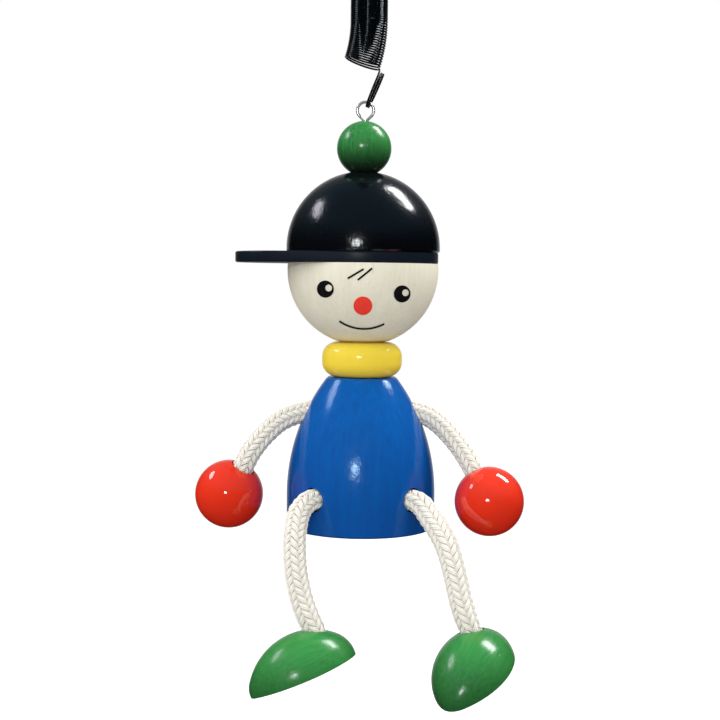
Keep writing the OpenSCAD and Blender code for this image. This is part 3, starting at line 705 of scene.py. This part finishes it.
# A rope leaves the torso along "out" and enters the hand or foot along "into". "hole" and "far"
# are the depths of its holes there, and "thick" is how far it swells between them.
limbSet = {
    "left_arm_rope": {
        "mouth": hung(18.706, 0, 38), "out": sideways(90, 15), "hole": armHole, "far": 8.9,
        "into": (0.43, -0.3, -0.85), "bodies": ("figure", "left_arm", "left_hand"), "thick": 1.03,
        "route": [(0, 0, 0), (4, -0.7, -1.3), (7.9, -2.6, -4), (11.5, -5.2, -7.6),
                  (14.7, -8.2, -11.6), (16.8, -10.4, -14.9), (18.1, -11.7, -17.4)]},
    "right_arm_rope": {
        "mouth": hung(-18.706, 0, 38), "out": sideways(-90, 15), "hole": armHole, "far": 8.9,
        "into": (-0.45, 0.2, -0.87), "bodies": ("figure", "right_arm", "right_hand"), "thick": 1.03,
        "route": [(0, 0, 0), (-4.3, -0.5, -1.2), (-8.5, -1.9, -3.1), (-12.1, -3.8, -6.1),
                  (-15.1, -5.5, -9.3), (-17.8, -6.8, -13.1), (-19.8, -7.3, -17.2)]},
    "left_leg_rope": {
        "mouth": hung(17.034, -17.95, 11.5), "out": sideways(43.5), "hole": legHole, "far": 7.9,
        "into": (0.38, 0.2, -0.9), "bodies": ("figure", "left_leg", "left_foot"), "thick": 1.1,
        "route": [(0, 0, 0), (2.4, -2.75, -1), (5.1, -5.45, -4.3), (7.9, -8.35, -8.3),
                  (10.3, -11.35, -12.9), (12.4, -14.35, -20), (14.3, -16.75, -28.1),
                  (15.8, -17.85, -33.1), (17.4, -18.15, -36.8)]},
    "right_leg_rope": {
        "mouth": hung(-15.405, -19.367, 11.5), "out": sideways(-38.5), "hole": legHole, "far": 7.9,
        "into": (0.37, -0.09, -0.93), "bodies": ("figure", "right_leg", "right_foot"),
        "thick": 1.07,
        "route": [(0, 0, 0), (-2.2, -2.6, -0.8), (-4.2, -5.6, -3.7), (-5, -8.4, -8),
                  (-5.2, -10.9, -12.5), (-4.6, -13.4, -19.9), (-2.7, -15.4, -28.1),
                  (-0.6, -16.6, -33.4), (1.3, -17, -37.2)]},
}


def limbLine(limb, s):
    mouth, out, into = np.array(limb["mouth"]), unit(limb["out"]), unit(limb["into"])
    route = [mouth + np.array(p) for p in limb["route"]]
    points = [mouth - limb["hole"] * out, mouth - s["lead"] * out, *route,
              route[-1] + s["lead"] * into, route[-1] + limb["far"] * into]
    return smoothLine(points, s["ringStep"])


# Centre lines of all the yarns of a braid, in which the strands' floats lie in rows along it
def yarnLines(line, run, sides, across, swell, s):
    angle = math.radians(s["angle"])
    gap = 2 * math.pi / s["strands"]
    middle = (s["yarns"] - 1) / 2
    for way in (1, -1):
        for strand in range(s["strands"]):
            for yarn in range(s["yarns"]):
                off = (yarn - middle) * s["yarnGap"] / math.cos(angle)
                turn = strand * gap + (way * math.tan(angle) * run + off) / s["meanRadius"]
                wave = np.cos(math.pi * (turn / gap - s["phase"])) * way
                crown = s["crown"] * (yarn == middle)
                reach = s["meanRadius"] * swell + s["lift"] * wave + crown
                radial = np.cos(turn)[:, None] * sides + np.sin(turn)[:, None] * across
                # The relief sets the painted shade: low yarns, and side yarns a little, get more of
                # it
                relief = 0.5 + 0.5 * wave - s["sideRelief"] * abs(yarn - middle)
                yield line + reach[:, None] * radial, radial, run / math.cos(angle), relief


# One half of a rope: its yarns and a core that closes the gaps between them
def ropePart(name, line, run, sides, across, swell, part, s):
    n, inset = s["yarnSides"], s["mapInset"]
    points, faces, maps, reliefs = [], [], [], []
    yarns = yarnLines(line, run, sides, across, swell, s)
    for i, (yarn, radial, at, relief) in enumerate(yarns):
        along = directions(yarn)
        radial = squared(radial, along)[part]
        faces += tubeFaces(len(radial), n, sum(len(p) for p in points))
        points.append(tubeRings(yarn[part], along[part], radial, s["yarnRadius"] * swell[part], n))
        reliefs.append(np.repeat(relief[part], n))
        v = at[part]
        wall = np.zeros((len(v) - 1, n, 4, 2))
        around = (np.arange(n)[:, None] + [0, 1, 1, 0]) / n
        wall[..., 0] = i + around * (1 - 2 * inset) + inset
        wall[..., 1] = np.stack([v[:-1], v[:-1], v[1:], v[1:]], axis=1)[:, None]
        maps += [wall.reshape(-1, 2), [(i + 0.5, v[0])] * n, [(i + 0.5, v[-1])] * n]
    core = directions(line)[part]
    count = s["coreSides"]
    faces += tubeFaces(len(core), count, sum(len(p) for p in points))
    points.append(tubeRings(line[part], core, squared(sides[part], core),
                            s["coreRadius"] * swell[part], count))
    # Relief 0 gives the core the full painted shade in the gaps between the strands
    reliefs.append(np.zeros(len(core) * count))
    maps.append([(s["coreMap"], 0)] * (4 * (len(core) - 1) * count + 2 * count))
    piece = newPiece(name, np.concatenate(points), faces, finishes["cotton_rope"])
    layer = piece.data.uv_layers.new(name="yarnMap")
    layer.data.foreach_set("uv", np.concatenate(maps).astype(np.float32).ravel())
    depth = piece.data.attributes.new("relief", "FLOAT", "POINT")
    depth.data.foreach_set("value", np.concatenate(reliefs).astype(np.float32))
    return piece


# Each rope is one braid cut across its middle into two halves
def makeRope(node, limb, s):
    line, run = limbLine(limb, s)
    along = directions(line)
    sides = carriedSides(along, unit(np.cross(along[0], [0, 0, 1])))
    across = np.cross(along, sides)
    middle = int(round((limb["hole"] + run[-1] - limb["far"]) / 2 / s["ringStep"]))
    mouths = limb["hole"], run[-1] - limb["far"]
    ends = mouths[0], mouths[0] + s["swellIn"], mouths[1] - s["swellOut"], mouths[1]
    full = np.interp(run, ends, [0, 1, 1, 0])
    swell = 1 + (limb["thick"] - 1) * full

    def at(distance):
        return tuple(np.array([np.interp(distance, run, line[:, k]) for k in range(3)]) * mm)

    upper = ropePart(node + "_upper", line, run, sides, across, swell, slice(0, middle + 1), s)
    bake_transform(upper)
    lower = ropePart(node + "_lower", line, run, sides, across, swell, slice(middle, None), s)
    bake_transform(lower)
    for piece in (upper, lower):
        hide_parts(node)
    return run[-1]


for name, limb in limbSet.items():
    print(name, "braided,", round(makeRope(name, limb, ropeSet), 1), "mm long")


toolSet = {"levelWithin": 0.001, "drillSides": 48, "drillLen": 40.0, "sharpAngle": 30}


# Rounds the edges that lie level, drills the hole for the dowel and fits the piece to the figure
def roundAndDrill(piece, s, tool):
    bpy.ops.mesh.select_mode(type="EDGE")
    bpy.ops.mesh.select_all(action="DESELECT")
    form = bmesh.from_edit_mesh(piece.data)
    for edge in form.edges:
        edge.select = abs(edge.verts[0].co.z - edge.verts[1].co.z) < tool["levelWithin"] * mm
    bmesh.update_edit_mesh(piece.data)
    bpy.ops.mesh.bevel(offset=s["edge"] * mm, offset_type="OFFSET", segments=s["edgeSteps"],
                       affect="EDGES")
    bpy.ops.mesh.select_mode(type="VERT")
    bpy.ops.mesh.select_all(action="SELECT")
    bpy.ops.mesh.normals_make_consistent(inside=False)
    bpy.ops.object.mode_set(mode="OBJECT")
    bpy.ops.mesh.primitive_cylinder_add(vertices=tool["drillSides"], radius=s["bore"] * mm,
                                        depth=tool["drillLen"] * mm,
                                        location=Vector(s["middle"]) * mm)
    drill = bpy.context.active_object
    cut = piece.modifiers.new("bore", "BOOLEAN")
    cut.operation, cut.object, cut.solver = "DIFFERENCE", drill, "EXACT"
    bpy.ops.object.select_all(action="DESELECT")
    piece.select_set(True)
    bpy.context.view_layer.objects.active = piece
    bpy.ops.object.modifier_apply(modifier="bore")
    bpy.data.objects.remove(drill)
    bpy.ops.object.shade_smooth_by_angle(angle=math.radians(tool["sharpAngle"]))
    dress(piece, finishes[s["finish"]])
    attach(piece, "figure")
    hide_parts(s["node"])
    bpy.ops.object.select_all(action="DESELECT")


collarSet = {
    "node": "collar_ring", "finish": "yellow_gloss", "middle": hung(0, 0, 50), "tall": 11.6,
    "radius": 13.3, "sides": 128, "edge": 4.9, "edgeSteps": 12, "bore": 3.05,
}


# A thick disc whose rims are turned nearly half round
def makeCollar(s):
    middle = Vector(s["middle"]) * mm + Vector((0, 0, s["tall"] / 2 * mm))
    bpy.ops.mesh.primitive_cylinder_add(vertices=s["sides"], radius=s["radius"] * mm,
                                        depth=s["tall"] * mm, location=middle)
    collar = bpy.context.active_object
    collar.name = collar.data.name = "collar_turned"
    bpy.ops.object.transform_apply(location=True, rotation=True, scale=True)
    bpy.ops.object.mode_set(mode="EDIT")
    roundAndDrill(collar, s, toolSet)


makeCollar(collarSet)
print("collar turned and drilled")


boardSet = {
    "node": "cap_brim", "finish": "black_satin", "thick": 3.6, "middle": hung(0, 0, 87.6),
    "roundR": 24.9, "visorR": 19.0, "visorShift": -23.3, "sides": 192, "flatAngle": 0.2,
    "edge": 0.55, "edgeSteps": 4, "bore": 3.05,
}


# A disc and a smaller one to the figure's right, wrapped into one board with rubbed-down edges
def makeBoard(s):
    middle = Vector(s["middle"]) * mm
    visor = middle + Vector((s["visorShift"] * mm, 0, 0))
    bpy.ops.mesh.primitive_circle_add(vertices=s["sides"], radius=s["roundR"] * mm,
                                      location=middle)
    board = bpy.context.active_object
    board.name = board.data.name = "brim_board"
    bpy.ops.object.transform_apply(location=True, rotation=True, scale=True)
    bpy.ops.object.mode_set(mode="EDIT")
    bpy.ops.mesh.primitive_circle_add(vertices=s["sides"], radius=s["visorR"] * mm,
                                      location=visor)
    bpy.ops.mesh.select_all(action="SELECT")
    bpy.ops.mesh.extrude_region_move(TRANSFORM_OT_translate={"value": (0, 0, s["thick"] * mm)})
    bpy.ops.mesh.select_all(action="SELECT")
    bpy.ops.mesh.delete(type="ONLY_FACE")
    bpy.ops.mesh.select_all(action="SELECT")
    bpy.ops.mesh.convex_hull(delete_unused=True, use_existing_faces=False, join_triangles=False)
    bpy.ops.mesh.select_all(action="SELECT")
    bpy.ops.mesh.dissolve_limited(angle_limit=math.radians(s["flatAngle"]))
    roundAndDrill(board, s, toolSet)


makeBoard(boardSet)
print("brim board cut and drilled")


stageSet = {"floor": -410.0, "half": 3000.0, "white": 0.62, "dim": 0.3, "glow": 0.32}


# White floor below the lowest bounce, as the camera sees it; it throws little light upwards
def makeFloor(s):
    bpy.ops.mesh.primitive_plane_add(size=2 * s["half"] * mm, location=(0, 0, s["floor"] * mm))
    floor = bpy.context.active_object
    floor.name = "paleFloor"
    floor.visible_glossy = False
    material = bpy.data.materials.new("paleFloor")
    material.use_nodes = True
    tree = material.node_tree
    tree.nodes.clear()
    seen = addNode(tree, "ShaderNodeLightPath").outputs["Is Camera Ray"]
    dim, white = (rgb(level, level, level) for level in (s["dim"], s["white"]))
    tone = mixColour(tree, seen, dim, white)
    matte = addNode(tree, "ShaderNodeBsdfDiffuse", {"Color": tone})
    light = calc(tree, "MULTIPLY", seen, s["glow"])
    glow = addNode(tree, "ShaderNodeEmission", {"Strength": light})
    both = addNode(tree, "ShaderNodeAddShader", {0: matte.outputs[0], 1: glow.outputs[0]})
    addNode(tree, "ShaderNodeOutputMaterial", {"Surface": both.outputs[0]})
    dress(floor, material)


# "up" to "right" are the levels of the soft light, "front" to "rimTo" what reflections see
roomSet = {
    "up": 1.1, "level": 0.89, "down": 0.4, "ahead": 1.12, "behind": 0.8, "left": 1.5,
    "right": 0.86, "front": 0.003, "frontUp": 0.2, "frontSpan": (0.1, 0.7), "back": 0.6,
    "tintFrom": 0.4, "rimFrom": 0.8, "rimTo": 1.0,
    "aheadTint": rgb(0.975, 0.99, 1.0), "behindTint": rgb(1.0, 0.93, 0.94),
    "shineTint": rgb(0.35, 0.75, 1.0), "rimTint": rgb(0.97, 0.985, 1.0),
}


# White to the camera. Matt surfaces take a soft light, stronger from above; reflections see a
# dim room in front and at the sides, and the pale backdrop behind
def makeRoom(s):
    world = bpy.data.worlds.new("paleRoom")
    scene.world = world
    world.use_nodes = True
    tree = world.node_tree
    tree.nodes.clear()
    path = addNode(tree, "ShaderNodeLightPath").outputs
    look = addNode(tree, "ShaderNodeTexCoord").outputs["Generated"]
    side, depth, lift = (axisValue(tree, look, i) for i in range(3))
    low = spread(tree, lift, -1.0, 0.0, s["down"], s["level"])
    high = spread(tree, lift, 0.0, 1.0, 0.0, s["up"] - s["level"])
    fill = calc(tree, "MULTIPLY", calc(tree, "ADD", low, high),
                spread(tree, depth, -1.0, 1.0, s["ahead"], s["behind"]))
    fill = calc(tree, "MULTIPLY", fill, spread(tree, side, -1.0, 1.0, s["left"], s["right"]))
    ahead = spread(tree, lift, *s["frontSpan"], s["front"], s["frontUp"], smooth=True)
    behind = spread(tree, depth, s["rimFrom"], s["rimTo"], 0.0, s["back"])
    gloss = path["Is Glossy Ray"]
    more = calc(tree, "SUBTRACT", calc(tree, "ADD", ahead, behind), fill)
    level = calc(tree, "MULTIPLY_ADD", gloss, more, fill)
    toRim = spread(tree, depth, s["tintFrom"], s["rimFrom"])
    shineTint = mixColour(tree, toRim, s["shineTint"], s["rimTint"])
    fillTint = mixColour(tree, spread(tree, depth, -1.0, 1.0), s["aheadTint"], s["behindTint"])
    tint = mixColour(tree, gloss, fillTint, shineTint)
    white = calc(tree, "MAXIMUM", path["Is Camera Ray"], path["Is Transmission Ray"])
    unseen = calc(tree, "MULTIPLY", level, calc(tree, "SUBTRACT", 1.0, white))
    strength = calc(tree, "MAXIMUM", unseen, white)
    back = addNode(tree, "ShaderNodeBackground",
                   {"Color": mixColour(tree, white, tint, rgb(1, 1, 1)), "Strength": strength})
    addNode(tree, "ShaderNodeOutputWorld", {"Surface": back.outputs[0]})


lampSet = {
    "centre": (-0.65, 0, -185), "far": 1200,
    "lamps": {
        "keyWindow": {"toward": (0.55, 0.294, 0.782), "size": (600, 260), "level": 22.0,
                      "turn": 40, "shape": "RECTANGLE", "colour": (1.0, 0.99, 1.0)},
        "leftWindow": {"toward": (-0.74, 0.14, 0.66), "size": (555, 268), "level": 8.0,
                       "turn": -23, "shape": "ELLIPSE", "colour": (0.95, 0.93, 1.0)},
        "frontLamp": {"toward": (-0.165, -0.97, 0.18), "size": (205, 135), "level": 38.0,
                      "turn": 0, "shape": "ELLIPSE", "colour": (0.97, 1.0, 1.0)},
    },
}


# "level" is the brightness of the lamp's own face, where 1 is white
def makeLamps(s):
    for name, lamp in s["lamps"].items():
        data = bpy.data.lights.new(name, "AREA")
        data.shape = lamp["shape"]
        data.size, data.size_y = (side * mm for side in lamp["size"])
        area = data.size * data.size_y * (math.pi / 4 if data.shape == "ELLIPSE" else 1)
        data.energy = lamp["level"] * math.pi * area
        data.color = lamp["colour"]
        piece = bpy.data.objects.new(name, data)
        toward = Vector(lamp["toward"]).normalized()
        piece.location = (Vector(s["centre"]) + toward * s["far"]) * mm
        aim = (-toward).to_track_quat("-Z", "Y").to_matrix()
        aim = aim @ Matrix.Rotation(math.radians(lamp["turn"]), 3, "Z")
        piece.rotation_euler = aim.to_euler()
        piece.visible_camera = False
        scene.collection.objects.link(piece)


makeFloor(stageSet)
makeRoom(roomSet)
makeLamps(lampSet)
print("floor, room and", len(lampSet["lamps"]), "lamps placed")
